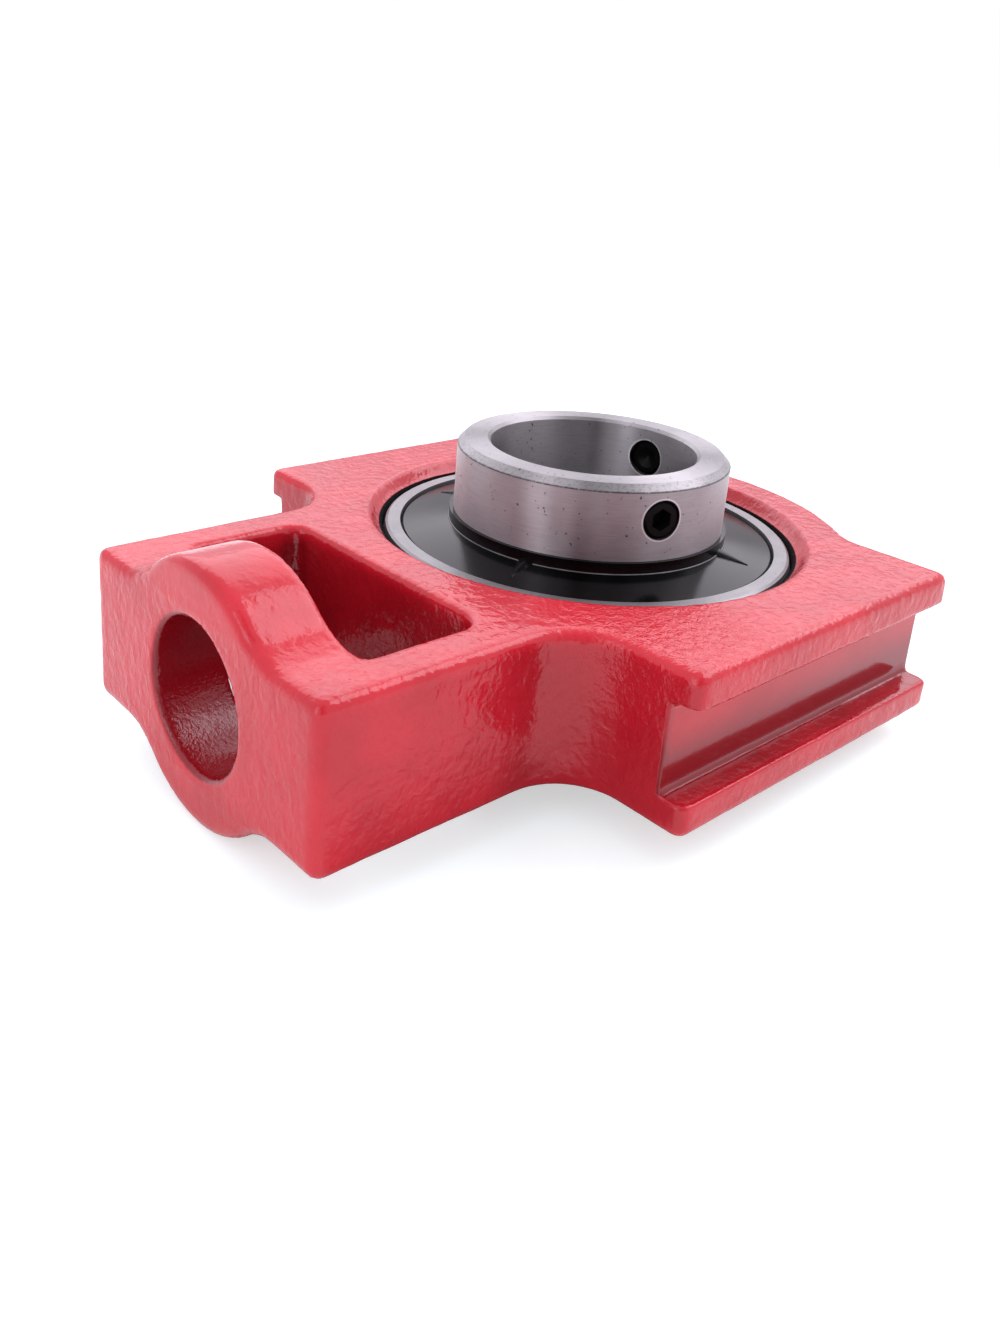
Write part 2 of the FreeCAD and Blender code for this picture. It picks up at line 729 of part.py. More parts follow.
def makeFlingers():
    low = "(outerRingWidth / 2 - flingerRecess)"
    high = low + " + flingerRise"
    bore = "innerRingOutside / 2 + flingerFit"
    collar = "innerRingOutside / 2 + flingerFit + collarThick"
    rim = sealSeatRadius + " - flingerGap"
    disc = turned("flingerDisc", [
        (bore, high + " - flingerThick"),
        (rim, low + " - flingerThick"),
        (rim, low + " - flingerRim"),
        (rim + " - flingerRim", low),
        (collar, high),
        (collar, low + " + collarHeight"),
        (bore, low + " + collarHeight"),
    ])
    pleats = [makePleat(number) for number in range(pleatCount)]
    flinger = fuse("flinger", [disc] + pleats)
    finish(flinger, "flinger_front")
    finish(mirrored("flingerMirrored", flinger), "flinger_rear")


# A pleat is the upper part of a cone that lies along the radius, widest at the collar
def makePleat(number):
    start = "(innerRingOutside / 2 + flingerFit + collarThick / 2)"
    rim = "(%s - flingerGap)" % sealSeatRadius
    end = "((1 - pleatShare) * %s + pleatShare * %s)" % (start, rim)
    level = "(outerRingWidth / 2 - flingerRecess + pleatLevel)"
    dart = cone(
        "dart%d" % (number + 1), "pleatWidth / 2", "pleatTip / 2", "%s - %s" % (end, start),
        alongX, x=start, z=level,
    )
    space = block(
        "dartSpace%d" % (number + 1), (start, end),
        ("-pleatWidth", "pleatWidth"), (level + " - pleatDepth", level + " + pleatWidth"),
    )
    pleat = common("pleat%d" % (number + 1), dart, space)
    pleat.Placement.Rotation = turn((0, 0, 1), size["pleatAngle"] + 360 / pleatCount * number)
    return pleat


# Set screws: hexagon sockets and cup points, a little below the ring's surface and bore

def makeSetScrews():
    outline = [
        ("0", "cupDepth"),
        ("cupDiameter / 2", "0"),
        ("setScrew / 2 - screwChamfer", "0"),
        ("setScrew / 2", "screwChamfer"),
        ("setScrew / 2", "setScrewLength - screwChamfer"),
        ("setScrew / 2 - screwChamfer", "setScrewLength"),
        ("0", "setScrewLength"),
    ]
    for number, angle in enumerate(screwAngles(), start=1):
        shank = turned("setScrewShank%d" % number, outline)
        socket = hexagon("socket%d" % number, "socketFlats", "2 * socketDepth")
        bindPlace(socket, z="setScrewLength - socketDepth")
        screw = cut("setScrew%d" % number, shank, socket)
        rotation = turn((0, 0, 1), angle) * alongX
        finish(screw, "set_screw_%d" % number, rotation)
        reach = "(shaftBore / 2 + setScrewInset)"
        screw.setExpression("Placement.Base.x", fromSheet(reach + " * cos(%g)" % angle))
        screw.setExpression("Placement.Base.y", fromSheet(reach + " * sin(%g)" % angle))
        screw.setExpression("Placement.Base.z", fromSheet("longSide - setScrewFromFace"))
    doc.recompute()


def checkModel():
    for thing in doc.Objects:
        if "Invalid" in thing.State or "Error" in thing.State:
            raise RuntimeError("%s failed: %s" % (thing.Label, thing.State))
    for solid in finished:
        if solid.Shape.isNull() or not solid.Shape.isValid():
            raise RuntimeError("%s has no valid shape" % solid.Label)


makeHousing()
makeGreaseNipple()
makeOuterRing()
makeInnerRing()
makeBalls()
makeCage()
makeCageRivets()
makeSeals()
makeFlingers()
makeSetScrews()
checkModel()

os.makedirs("parts", exist_ok=True)
for solid in finished:
    solid.Shape.exportStep("parts/%s.step" % solid.Label)
    print(solid.Label, len(solid.Shape.Solids), round(solid.Shape.Volume, 1))
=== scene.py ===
import bpy
import math
from mathutils import Matrix, Vector


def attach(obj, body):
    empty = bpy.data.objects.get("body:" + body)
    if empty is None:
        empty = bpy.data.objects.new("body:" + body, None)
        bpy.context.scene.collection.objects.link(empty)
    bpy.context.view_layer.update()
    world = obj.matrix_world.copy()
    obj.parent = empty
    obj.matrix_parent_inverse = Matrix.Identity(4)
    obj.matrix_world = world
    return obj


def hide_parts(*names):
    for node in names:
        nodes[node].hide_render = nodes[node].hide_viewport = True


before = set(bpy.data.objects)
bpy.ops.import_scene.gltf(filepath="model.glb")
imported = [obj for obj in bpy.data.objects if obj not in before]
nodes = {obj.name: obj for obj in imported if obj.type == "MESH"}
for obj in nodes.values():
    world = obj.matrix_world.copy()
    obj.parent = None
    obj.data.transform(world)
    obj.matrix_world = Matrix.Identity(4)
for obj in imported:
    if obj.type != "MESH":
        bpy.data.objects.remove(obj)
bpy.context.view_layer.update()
print("stage: frame loaded")


# Shader maths: a socket that takes part in expressions
class Wire:
    def __init__(self, finish, socket):
        self.finish = finish
        self.socket = socket

    def other(self, name):  # another output of the same node
        return Wire(self.finish, self.socket.node.outputs[name])

    def maths(self, operation, *values):
        return self.finish.node("Math", {"operation": operation}, dict(enumerate(values)))

    def __add__(self, other): return self.maths("ADD", self, other)
    def __radd__(self, other): return self.maths("ADD", other, self)
    def __sub__(self, other): return self.maths("SUBTRACT", self, other)
    def __rsub__(self, other): return self.maths("SUBTRACT", other, self)
    def __mul__(self, other): return self.maths("MULTIPLY", self, other)
    def __rmul__(self, other): return self.maths("MULTIPLY", other, self)
    def __truediv__(self, other): return self.maths("DIVIDE", self, other)
    def __abs__(self): return self.maths("ABSOLUTE", self)

    def atMost(self, other): return self.maths("MINIMUM", self, other)
    def root(self): return self.maths("SQRT", self)
    def angleTo(self, other): return self.maths("ARCTAN2", self, other)

    # 0 at low, 1 at high, smooth between them; low may be the larger one
    def rise(self, low, high):
        settings = {"interpolation_type": "SMOOTHSTEP"}
        sockets = {"Value": self, "From Min": low, "From Max": high}
        return self.finish.node("MapRange", settings, sockets)


# The nodes of a material or of the world; each one is made by node()
class Finish:
    def __init__(self, owner):
        owner.use_nodes = True
        self.owner = owner
        self.tree = owner.node_tree
        self.tree.nodes.clear()

    # A node's settings come before the values or links of its sockets
    def node(self, kind, settings, sockets, output=0):
        made = self.tree.nodes.new("ShaderNode" + kind)
        for key, value in settings.items():
            setattr(made, key, value)
        for key, value in sockets.items():
            if isinstance(value, Wire):
                self.tree.links.new(value.socket, made.inputs[key])
            else:
                made.inputs[key].default_value = value
        return Wire(self, made.outputs[output]) if made.outputs else None

    def place(self):
        return self.node("TexCoord", {}, {}, "Object")

    def xyz(self, vector):
        x = self.node("SeparateXYZ", {}, {0: vector}, "X")
        return x, x.other("Y"), x.other("Z")

    def vector(self, x, y, z):
        return self.node("CombineXYZ", {}, {0: x, 1: y, 2: z})

    def noise(self, vector, scale, detail=2, roughness=0.5, distortion=0):
        sockets = {"Vector": vector, "Scale": scale, "Detail": detail, "Roughness": roughness,
                   "Distortion": distortion}
        return self.node("TexNoise", {}, sockets)

    def mix(self, factor, first, second):
        return self.node("Mix", {"data_type": "RGBA"}, {0: factor, 6: first, 7: second}, 2)

    # The height is in metres
    def bump(self, height):
        return self.node("Bump", {}, {"Height": height, "Strength": 1.0, "Distance": 1.0})

    def principled(self, sockets):
        self.node("OutputMaterial", {}, {"Surface": self.node("BsdfPrincipled", {}, sockets)})
        return self.owner


def newMaterial(name):
    return Finish(bpy.data.materials.new(name))


def addObject(name, data):
    made = bpy.data.objects.new(name, data)
    bpy.context.scene.collection.objects.link(made)
    return made


# Camera, at the photograph's place
photoCamera = {
    "imageWidth": 1000, "imageHeight": 1333,
    "focalPixels": 1140.08, "axisPixel": (463.69, 491.92),
    "place": (-0.2229, -0.19386, 0.12018),
    "right": (0.750926, -0.65698, 0.066984), "down": (-0.158591, -0.277867, -0.947438),
    "ahead": (0.641061, 0.700833, -0.312848), "sensor": 36, "nearest": 0.01,
}


def makeCamera():
    facts = photoCamera
    data = bpy.data.cameras.new("camera")
    data.sensor_fit = "HORIZONTAL"
    data.sensor_width = facts["sensor"]
    data.lens = facts["focalPixels"] / facts["imageWidth"] * facts["sensor"]
    data.shift_x = (facts["imageWidth"] / 2 - facts["axisPixel"][0]) / facts["imageWidth"]
    data.shift_y = (facts["axisPixel"][1] - facts["imageHeight"] / 2) / facts["imageWidth"]
    data.clip_start = facts["nearest"]
    camera = addObject("camera", data)
    right, down, ahead = (Vector(facts[key]) for key in ("right", "down", "ahead"))
    turned = Matrix((right, -down, -ahead)).transposed().to_4x4()
    camera.matrix_world = Matrix.Translation(facts["place"]) @ turned
    bpy.context.scene.camera = camera


makeCamera()
print("stage: camera")


# Red gloss enamel over a sand casting, with painted shade in its hole, window, lower slots and
# hollow.
# A noise is given as scale, detail, roughness and distortion, a range as its start and its full end
redPaint = {
    "deep": (0.49, 0.0095, 0.0205, 1), "bright": (0.58, 0.0135, 0.027, 1),
    "paintedShade": (0.235, 0.0045, 0.0095, 1), "bareSeatShade": (0.010, 0.009, 0.009, 1),
    "gloss": 0.11, "glossSpread": 0.1, "seatRoughness": 0.7, "refraction": 1.5,
    "wrinkle": (420, 3, 0.5, 0.5), "peel": (440, 2, 0.45, 0.4), "grit": (1100, 2, 0.6),
    "patch": (40, 2), "blotch": (60, 3), "dull": (300, 2),
    "patchRange": (0.4, 0.7), "blotchRange": (0.3, 0.7),
    "wrinkleHeight": 0.00022, "wrinkleShare": 0.1, "patchShare": 0.15, "runShare": 1.5,
    "peelHeight": 0.00027, "gritHeight": 0.00003, "holeGrit": 5, "flow": 0.85,
    "slotCalm": 0.92, "holeCalm": 0.75, "humpCalm": 0.6,
    "runPlace": (-0.036, -0.058, 0.019), "runReach": (0.03, 0.012),
    "slotSides": (0.0112, 0.0106), "slotDepth": (0.071, 0.0716), "slotLow": (0.006, -0.006),
    "holeWall": (0.019, 0.0182), "holeMouth": (-0.0975, -0.0995),
    "windowStart": (-0.1006, -0.0996), "windowEnd": (-0.0694, -0.0704),
    "windowSides": (0.0351, 0.0343), "windowTop": (0.0195, 0.0115),
    "hollowStart": (-0.082, -0.064), "hollowEnd": (-0.0485, -0.0505),
    "hollowTop": (0.0182, 0.0152), "hollowShadeShare": 0.4,
    "humpRise": (0.0192, 0.0222), "seatMouth": (0.0563, 0.056),
}


def makeRedPaint():
    facts = redPaint
    paint = newMaterial("redPaint")
    at = paint.place()
    x, y, z = paint.xyz(at)
    inSlot = abs(z).rise(*facts["slotSides"]) * abs(y).rise(*facts["slotDepth"])
    inHole = (y * y + z * z).root().rise(*facts["holeWall"]) * x.rise(*facts["holeMouth"])
    inWindow = x.rise(*facts["windowStart"]) * x.rise(*facts["windowEnd"])
    inWindow = inWindow * abs(y).rise(*facts["windowSides"]) * abs(z).rise(*facts["windowTop"])
    inHollow = x.rise(*facts["hollowStart"]) * x.rise(*facts["hollowEnd"])
    inHollow = inHollow * abs(z).rise(*facts["hollowTop"])
    # The seat is bare iron, coloured near black as painted shade of the gap round the ring
    inSeat = (x * x + y * y).root().rise(*facts["seatMouth"])
    onHump = abs(z).rise(*facts["humpRise"])
    distance = {0: at, 1: facts["runPlace"]}
    run = paint.node("VectorMath", {"operation": "DISTANCE"}, distance, "Value")
    run = run.rise(*facts["runReach"])

    # Wrinkles where the paint has run, orange peel all over, grit in the hole
    flow = paint.vector(x, y, z * facts["flow"])
    wrinkle = abs(paint.noise(flow, *facts["wrinkle"]) - 0.5) * 2
    patch = paint.noise(at, *facts["patch"]).rise(*facts["patchRange"])
    share = facts["wrinkleShare"] + patch * facts["patchShare"] + run * facts["runShare"]
    height = wrinkle * (facts["wrinkleHeight"] * share)
    height = height + paint.noise(flow, *facts["peel"]) * facts["peelHeight"]
    height = height * (1 - inHole * facts["holeCalm"]) * (1 - onHump * facts["humpCalm"])
    grit = facts["gritHeight"] * (1 + inHole * facts["holeGrit"])
    height = height + paint.noise(at, *facts["grit"]) * grit
    calm = 1 - inSlot * facts["slotCalm"]

    lowSlot = inSlot * z.rise(*facts["slotLow"])
    # Painted shade: the paint goes darker in the tapped hole, the window, the lower half of each
    # slot and, in part, the hollow
    paintedShade = (inHole + inWindow + lowSlot + inHollow * facts["hollowShadeShare"]).atMost(1)
    blotch = paint.noise(at, *facts["blotch"]).rise(*facts["blotchRange"])
    colour = paint.mix((blotch + run).atMost(1), facts["deep"], facts["bright"])
    colour = paint.mix(paintedShade, colour, facts["paintedShade"])
    spread = facts["glossSpread"] * paint.noise(at, *facts["dull"]) * calm
    return paint.principled({
        "Base Color": paint.mix(inSeat, colour, facts["bareSeatShade"]),
        "Roughness": facts["gloss"] + spread + inSeat * facts["seatRoughness"],
        "Metallic": inSeat, "IOR": facts["refraction"],
        "Normal": paint.bump(height * calm),
    })


# Ground steel: fine lines run round the axis, with clouds and small pits
groundSteel = {
    "lineScale": 9000, "lineTurns": 6, "lines": (1, 2, 0.6), "cloud": (90, 3),
    "pits": (900, 2, 0.6), "pitRange": (0.66, 0.74), "toneRange": (0.35, 0.65),
    "lineShare": 0.6, "cloudShare": 0.4, "stainShare": 0.8, "rimShare": 0.8, "hollowShadeShare": 0.95,
    "lineRoughness": 0.1, "pitRoughness": 0.15, "wornRoughness": 0.2, "pitDepth": 0.3,
    "drawnTurn": 0.25,
}
# Its rim colour is a painted highlight round the tapped holes, and its stain colour also serves as
# painted shade inside them
innerSteel = {
    "light": (0.44, 0.43, 0.44, 1), "dark": (0.35, 0.34, 0.345, 1),
    "stainAndHoleShade": (0.06, 0.055, 0.055, 1), "rimHighlight": (0.85, 0.84, 0.85, 1),
    "roughness": 0.36, "drawn": 0.95, "grain": 0.000012,
    "tapped": (7.5, -108.5), "tappedHeight": 0.0307, "holeSide": (0, 0.001),
    "rimRadius": 0.00535, "rimWidth": 0.0003, "hollow": (0.00525, 0.00505),
    "wornHeight": 0.0379, "wornRise": (0.0377, 0.0379), "wornRing": (0.0343, 0.0347),
    "wornShare": 0.3, "wornSpeckle": (0.5, 0.65), "lineWidth": 0.0003,
    "lineRing": (0.035, 0.0352), "lineSpeckle": (0.3, 0.44), "speckle": (1300, 3, 0.7),
}
outerSteel = {
    "light": (0.33, 0.325, 0.33, 1), "dark": (0.24, 0.235, 0.24, 1),
    "stainAndHoleShade": (0.15, 0.14, 0.14, 1), "roughness": 0.36, "drawn": 0.6, "grain": 0.000008,
}
ballSteel = {
    "light": (0.78, 0.78, 0.8, 1), "dark": (0.7, 0.7, 0.72, 1),
    "stainAndHoleShade": (0.6, 0.6, 0.6, 1), "roughness": 0.04, "drawn": 0.0, "grain": 0.0,
}
cageSteel = {
    "light": (0.5, 0.5, 0.51, 1), "dark": (0.36, 0.36, 0.37, 1),
    "stainAndHoleShade": (0.2, 0.19, 0.19, 1), "roughness": 0.3, "drawn": 0.0, "grain": 0.00001,
}
nippleBrass = {
    "light": (0.62, 0.55, 0.38, 1), "dark": (0.5, 0.43, 0.28, 1),
    "stainAndHoleShade": (0.3, 0.25, 0.14, 1), "roughness": 0.22, "drawn": 0.0, "grain": 0.000007,
}


# How far a place is from the axis of a tapped hole, and whether it is on the hole's side
def fromHole(x, y, z, degrees, facts):
    angle = math.radians(degrees)
    across = y * math.cos(angle) - x * math.sin(angle)
    up = z - facts["tappedHeight"]
    side = (x * math.cos(angle) + y * math.sin(angle)).rise(*facts["holeSide"])
    return (across * across + up * up).root(), side


# The turned edge of the long side is rough, with a broken dark line under it
def wornEdge(steel, radius, z, at, facts):
    speckle = steel.noise(at, *facts["speckle"])
    edge = radius.rise(*facts["wornRing"]) * z.rise(*facts["wornRise"])
    edge = edge * speckle.rise(*facts["wornSpeckle"]) * facts["wornShare"]
    line = 1 - (abs(z - facts["wornHeight"]) / facts["lineWidth"]).atMost(1)
    return edge + line * speckle.rise(*facts["lineSpeckle"]) * radius.rise(*facts["lineRing"])


def makeGroundSteel(name, facts):
    shared = groundSteel
    steel = newMaterial(name)
    at = steel.place()
    x, y, z = steel.xyz(at)
    radius = (x * x + y * y).root()
    around = y.angleTo(x) * shared["lineTurns"]
    drawn = steel.vector(radius * shared["lineScale"], z * shared["lineScale"], around)
    lines = steel.noise(drawn, *shared["lines"])
    cloud = steel.noise(at, *shared["cloud"])
    pits = steel.noise(at, *shared["pits"]).rise(*shared["pitRange"])
    worn = wornEdge(steel, radius, z, at, facts) if "wornHeight" in facts else 0
    tone = (lines * shared["lineShare"] + cloud * shared["cloudShare"]).rise(*shared["toneRange"])
    colour = steel.mix(tone, facts["dark"], facts["light"])
    # In the tapped holes: a painted highlight on a narrow ring at each hole's edge, and the dark
    # stain colour as painted shade inside each hole
    if "tapped" in facts:
        rim = hollow = 0
        for angle in facts["tapped"]:
            away, side = fromHole(x, y, z, angle, facts)
            fromRim = (abs(away - facts["rimRadius"]) / facts["rimWidth"]).atMost(1)
            rim = rim + (1 - fromRim) * side
            hollow = hollow + away.rise(*facts["hollow"]) * side
        colour = steel.mix(rim * shared["rimShare"], colour, facts["rimHighlight"])
        colour = steel.mix(hollow * shared["hollowShadeShare"], colour, facts["stainAndHoleShade"])
    stained = (pits + worn).atMost(1) * shared["stainShare"]
    roughness = facts["roughness"] + lines * shared["lineRoughness"]
    roughness = roughness + pits * shared["pitRoughness"] + worn * shared["wornRoughness"]
    return steel.principled({
        "Base Color": steel.mix(stained, colour, facts["stainAndHoleShade"]), "Metallic": 1.0,
        "Roughness": roughness,
        "Anisotropic": facts["drawn"], "Anisotropic Rotation": shared["drawnTurn"],
        "Normal": steel.bump((lines - pits * shared["pitDepth"]) * facts["grain"]),
    })


# Satin black: a faint cloud and a very fine grain
satinBlack = {
    "cloud": (120, 3), "cloudRange": (0.3, 0.75), "cloudRoughness": 0.12,
    "grain": (2600, 3, 0.6), "grainHeight": 0.0000075,
}
flingerBlack = {
    "light": (0.002, 0.002, 0.0022, 1), "dark": (0.0008, 0.0008, 0.0009, 1),
    "roughness": 0.1, "refraction": 1.35,
}
# The collar foot: a grey lighter than the flinger, as a painted highlight along its line
collarHighlightGrey = {
    "light": (0.12, 0.12, 0.12, 1), "dark": (0.05, 0.05, 0.05, 1),
    "roughness": 0.2, "refraction": 1.6,
}
rubberBlack = {
    "light": (0.04, 0.04, 0.042, 1), "dark": (0.02, 0.02, 0.022, 1),
    "roughness": 0.55, "refraction": 1.5,
}
screwBlack = {
    "light": (0.003, 0.0035, 0.0035, 1), "dark": (0.001, 0.0012, 0.0012, 1),
    "roughness": 0.35, "refraction": 1.2,
}


def makeSatinBlack(name, facts):
    shared = satinBlack
    black = newMaterial(name)
    at = black.place()
    cloud = black.noise(at, *shared["cloud"])
    shade = cloud.rise(*shared["cloudRange"])
    return black.principled({
        "Base Color": black.mix(shade, facts["dark"], facts["light"]),
        "Roughness": facts["roughness"] + cloud * shared["cloudRoughness"],
        "Metallic": 0.0, "IOR": facts["refraction"],
        "Normal": black.bump(black.noise(at, *shared["grain"]) * shared["grainHeight"]),
    })


def dress(piece, material):
    piece.data.materials.clear()
    piece.data.materials.append(material)


# A node takes the finish of its own name, or else of its name's first word
paintFinish = makeRedPaint()
finishes = {
    "housing": paintFinish,
    "inner_ring": makeGroundSteel("innerSteel", innerSteel),
    "outer_ring": makeGroundSteel("outerSteel", outerSteel),
    "ball": makeGroundSteel("ballSteel", ballSteel),
    "cage": makeGroundSteel("cageSteel", cageSteel),
    "grease": makeGroundSteel("nippleBrass", nippleBrass),
    "flinger": makeSatinBlack("flingerBlack", flingerBlack),
    "seal": makeSatinBlack("rubberBlack", rubberBlack),
    "set": makeSatinBlack("screwBlack", screwBlack),
    "edge": makeSatinBlack("collarHighlightGrey", collarHighlightGrey),
}
for name, node in nodes.items():
    dress(node, finishes[name] if name in finishes else finishes[name.split("_")[0]])
print("stage: finishes")


# The casting: a softened copy of its solid, its skin uneven as sand leaves it.
# Wave and lump are given as size, detail and depth
casting = {
    "grid": 0.00096, "weld": 0.000002, "wave": (0.012, 1, 0.0003), "lump": (0.0034, 2, 0.00024),
    "skinShare": 0.6, "slotShare": 0.06, "humpShare": 0.25,
    "slotBottom": 0.0718, "slotHalfWidth": 0.0106, "humpFoot": 0.0193,
    "seatRadius": 0.0561, "lipRadius": 0.0581, "lipHeight": 0.0155, "faceHeight": 0.0191,
    "slopeFoot": 0.0555, "slopeTop": 0.0593, "slopeEnd": 0.068, "dishFloor": 0.014,
}


# How much of the unevenness a place takes: none in the seat, little in the slots
def skinShare(point):
    facts = casting
    away = math.hypot(point.x, point.y)
    if away < facts["seatRadius"]:
        return 0.0
    if abs(point.y) > facts["slotBottom"] and abs(point.z) < facts["slotHalfWidth"]:
        return facts["slotShare"]
    if abs(point.z) > facts["humpFoot"]:
        return facts["humpShare"]
    fromSeat = (away - facts["seatRadius"]) / (facts["lipRadius"] - facts["seatRadius"])
    return min(fromSeat, 1) * facts["skinShare"]


# The dish round the seat: a short rounded slope from the seat mouth up to the flat face
def shapeDish(piece):
    facts = casting
    climb = facts["faceHeight"] - facts["lipHeight"]
    for vertex in piece.data.vertices:
        away = math.hypot(vertex.co.x, vertex.co.y)
        if vertex.co.z > facts["dishFloor"] and facts["slopeFoot"] < away < facts["slopeEnd"]:
            share = (away - facts["slopeFoot"]) / (facts["slopeTop"] - facts["slopeFoot"])
            share = min(share, 1)
            vertex.co.z = facts["lipHeight"] + climb * share * share * (3 - 2 * share)


def applyModifier(piece, kind, settings):
    bpy.context.view_layer.objects.active = piece
    modifier = piece.modifiers.new(kind.lower(), kind)
    for key, value in settings.items():
        setattr(modifier, key, value)
    bpy.ops.object.modifier_apply(modifier=modifier.name)


def clouds(name, size, detail):
    texture = bpy.data.textures.new(name, "CLOUDS")
    texture.noise_scale = size
    texture.noise_depth = detail
    return texture


def makeCasting():
    facts = casting
    bpy.ops.object.select_all(action="DESELECT")
    piece = addObject("castHousing", nodes["housing"].data.copy())
    bpy.context.view_layer.objects.active = piece
    piece.select_set(True)
    bpy.ops.object.mode_set(mode="EDIT")
    bpy.ops.mesh.select_all(action="SELECT")
    bpy.ops.mesh.remove_doubles(threshold=facts["weld"])
    bpy.ops.object.mode_set(mode="OBJECT")
    applyModifier(piece, "REMESH", {"mode": "VOXEL", "voxel_size": facts["grid"]})
    shapeDish(piece)
    skin = piece.vertex_groups.new(name="skin")
    for vertex in piece.data.vertices:
        skin.add([vertex.index], skinShare(vertex.co), "REPLACE")
    for name in ("wave", "lump"):
        size, detail, depth = facts[name]
        applyModifier(piece, "DISPLACE", {
            "texture": clouds(name, size, detail), "texture_coords": "LOCAL",
            "strength": depth, "mid_level": 1.0, "vertex_group": "skin",
        })
    bpy.ops.object.shade_smooth()
    dress(piece, paintFinish)
    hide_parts("housing")
    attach(piece, "housing_body")
    print("casting faces", len(piece.data.polygons))


makeCasting()
print("stage: casting")


# A thin run of paint lies in each corner of the rail slots
paintRuns = {
    "slotBottom": 0.0719, "slotHalfWidth": 0.0107, "length": 0.1008, "radius": 0.00062,
    "sides": 20, "softEnd": 0.0003, "softSteps": 3, "endFacing": 0.9,
}


def selectFaces(piece, wanted):
    bpy.ops.object.mode_set(mode="EDIT")
    bpy.ops.mesh.select_mode(type="FACE")
    bpy.ops.mesh.select_all(action="DESELECT")
    bpy.ops.object.mode_set(mode="OBJECT")
    for face in piece.data.polygons:
        face.select = wanted(face)
    bpy.ops.object.mode_set(mode="EDIT")


def makePaintRuns():
    facts = paintRuns
    bpy.ops.object.select_all(action="DESELECT")
    bpy.ops.mesh.primitive_cylinder_add(
        vertices=facts["sides"], radius=facts["radius"], depth=facts["length"],
        rotation=(0, math.pi / 2, 0),
    )
    first = bpy.context.object
    bpy.ops.object.transform_apply(location=False, rotation=True, scale=False)
    selectFaces(first, lambda face: abs(face.normal.x) > facts["endFacing"])
    bpy.ops.mesh.bevel(offset=facts["softEnd"], segments=facts["softSteps"])
    bpy.ops.object.mode_set(mode="OBJECT")
    bpy.ops.object.shade_smooth_by_angle()
    corners = [(y, z) for y in (-1, 1) for z in (-1, 1)]
    runs = [first] + [addObject("run", first.data.copy()) for corner in corners[1:]]
    for number, (piece, (ySide, zSide)) in enumerate(zip(runs, corners), 1):
        piece.name = "paintRun%d" % number
        place = (0, ySide * facts["slotBottom"], zSide * facts["slotHalfWidth"])
        piece.data.transform(Matrix.Translation(place))
        dress(piece, paintFinish)
        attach(piece, "housing_body")


makePaintRuns()
print("stage: paint runs")


# The pressed foot of the flinger's collar, a narrow raised line in a grey lighter than the flinger,
# as a painted highlight
collarFoot = {
    "radius": 0.0373, "height": 0.0174, "thickness": 0.00028, "flatten": 0.7,
    "around": 160, "across": 10,
}


def makeCollarFoot():
    facts = collarFoot
    bpy.ops.object.select_all(action="DESELECT")
    bpy.ops.mesh.primitive_torus_add(
        major_segments=facts["around"], minor_segments=facts["across"],
        major_radius=facts["radius"], minor_radius=facts["thickness"],
    )
    piece = bpy.context.object
    piece.name = "collarFoot"
    bpy.ops.object.mode_set(mode="EDIT")
    bpy.ops.mesh.select_all(action="SELECT")
    bpy.ops.transform.resize(value=(1, 1, facts["flatten"]))
    bpy.ops.transform.translate(value=(0, 0, facts["height"]))
    bpy.ops.object.mode_set(mode="OBJECT")
    bpy.ops.object.shade_smooth()
    dress(piece, finishes["edge"])
    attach(piece, "shaft_body")


makeCollarFoot()
print("stage: collar foot")


# The floor goes through the underside of the screw boss and the lower rim of the inner ring
studio = {
    "floorSize": 6.0, "floorDrop": 0.0001,
    "bossFoot": (-0.117, -0.03075), "ringFoot": (0.0365, -0.0254),
    "cloth": (0.64, 0.81, 0.79, 1), "plain": (0.8, 0.8, 0.8, 1), "shade": (0.35, 0.35, 0.35, 1),
    "floorGlow": 0.52, "farGlow": 1.0, "farRange": (0.25, 0.9), "shineGlow": 0.24,
    "shadeMiddle": 0.095, "shadeAlong": (0.1, 0.08), "shadeAcross": (0.08, 0.06),
    "sky": (0.98, 0.93, 1.02, 1), "skyGlow": 1.06,
    "dims": ((-2.6, -2.34, 0.42), (-2.6, -1.6, 0.5)), "dimEdge": 0.04,
    "lowBack": (0.2, 0.95, 0.3), "lowTop": (0.38, 0.3),
    "lampColour": (0.98, 0.94, 1.03),
    "key": {"place": (1.6, -0.49, 2.0), "size": (1.6, 1.6), "power": 25.0},
    "back": {"place": (1.08, 1.21, 1.27), "size": (3.0, 1.42), "power": 17.5},
    "strip": {"place": (-1.6, -0.05, 0.6), "size": (0.5, 1.5), "power": 4.0},
}


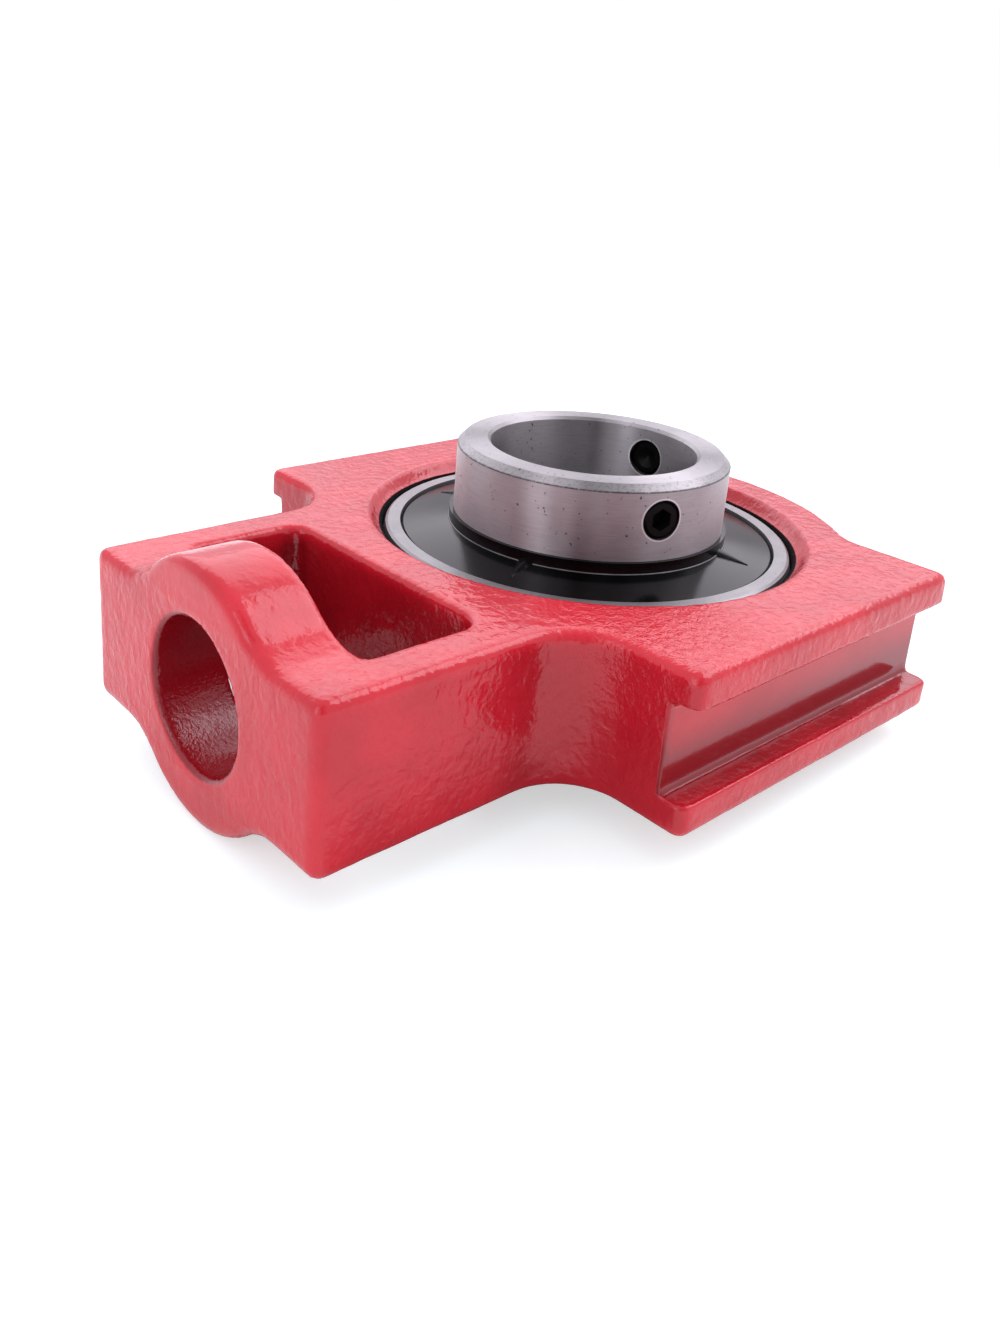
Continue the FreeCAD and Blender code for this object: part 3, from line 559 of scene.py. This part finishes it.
def makeFloor():
    facts = studio
    (x1, z1), (x2, z2) = facts["bossFoot"], facts["ringFoot"]
    slope = math.atan2(z2 - z1, x2 - x1)
    bpy.ops.object.select_all(action="DESELECT")
    bpy.ops.mesh.primitive_plane_add(size=facts["floorSize"])
    floor = bpy.context.object
    floor.name = "floor"
    floor.rotation_euler = (0, -slope, 0)
    floor.location = (x1, 0, z1 - facts["floorDrop"])
    white = newMaterial("paleFloor")
    x, y = white.xyz(white.place())[:2]
    rays = white.node("LightPath", {}, {}, "Is Camera Ray")

    # As the camera sees it: a cloth that takes the shadow, brighter far away
    far = (x * x + y * y).root().rise(*facts["farRange"])
    strength = facts["floorGlow"] + far * (facts["farGlow"] - facts["floorGlow"])
    glow = white.node("Emission", {}, {"Color": (1, 1, 1, 1), "Strength": strength})
    cloth = white.node("BsdfDiffuse", {}, {"Color": facts["cloth"]})
    seen = white.node("AddShader", {}, {0: cloth, 1: glow})

    # As the object sees it: plain, with a painted shadow under the object that also takes the glow
    # off there
    under = abs(x - facts["shadeMiddle"]).rise(*facts["shadeAlong"])
    under = under * abs(y).rise(*facts["shadeAcross"])
    shine = rays.other("Is Glossy Ray") * (1 - under) * facts["shineGlow"]
    shine = white.node("Emission", {}, {"Strength": shine})
    colour = white.mix(under, facts["plain"], facts["shade"])
    plain = white.node("BsdfDiffuse", {}, {"Color": colour})
    felt = white.node("AddShader", {}, {0: plain, 1: shine})
    both = white.node("MixShader", {}, {0: rays, 1: felt, 2: seen})
    white.node("OutputMaterial", {}, {"Surface": both})
    dress(floor, white.owner)


def makeWorld():
    facts = studio
    sky = Finish(bpy.data.worlds.new("studio"))
    bpy.context.scene.world = sky.owner
    rays = sky.node("LightPath", {}, {}, "Is Camera Ray")
    x, y, z = sky.xyz(sky.node("TexCoord", {}, {}, "Generated"))
    heading = y.angleTo(x)
    edge = facts["dimEdge"]

    def sector(start, end):
        return heading.rise(start - edge, start + edge) * heading.rise(end + edge, end - edge)

    # Darker parts of the sky, seen in gloss alone: two upright bands and a low one at the back
    dim = 0
    for start, end, share in facts["dims"]:
        dim = dim + sector(start, end) * share
    start, end, share = facts["lowBack"]
    dim = dim + z.rise(*facts["lowTop"]) * sector(start, end) * share
    strength = facts["skyGlow"] - rays * (facts["skyGlow"] - 1)
    strength = strength - dim * rays.other("Is Glossy Ray")
    sky.node("OutputWorld", {}, {"Surface": sky.node("Background", {}, {
        "Color": sky.mix(rays, facts["sky"], (1, 1, 1, 1)), "Strength": strength,
    })})


# A soft lamp that faces the middle of the object
def makeLight(name):
    facts = studio[name]
    lamp = bpy.data.lights.new(name, "AREA")
    lamp.shape = "RECTANGLE"
    lamp.size, lamp.size_y = facts["size"]
    lamp.energy = facts["power"]
    lamp.color = studio["lampColour"]
    away = Vector(facts["place"])
    turned = away.to_track_quat("Z", "Y").to_matrix().to_4x4()
    addObject(name, lamp).matrix_world = Matrix.Translation(away) @ turned


makeFloor()
makeWorld()
for name in ("key", "back", "strip"):
    makeLight(name)
bpy.context.scene.view_settings.view_transform = "Standard"
print("stage: studio")
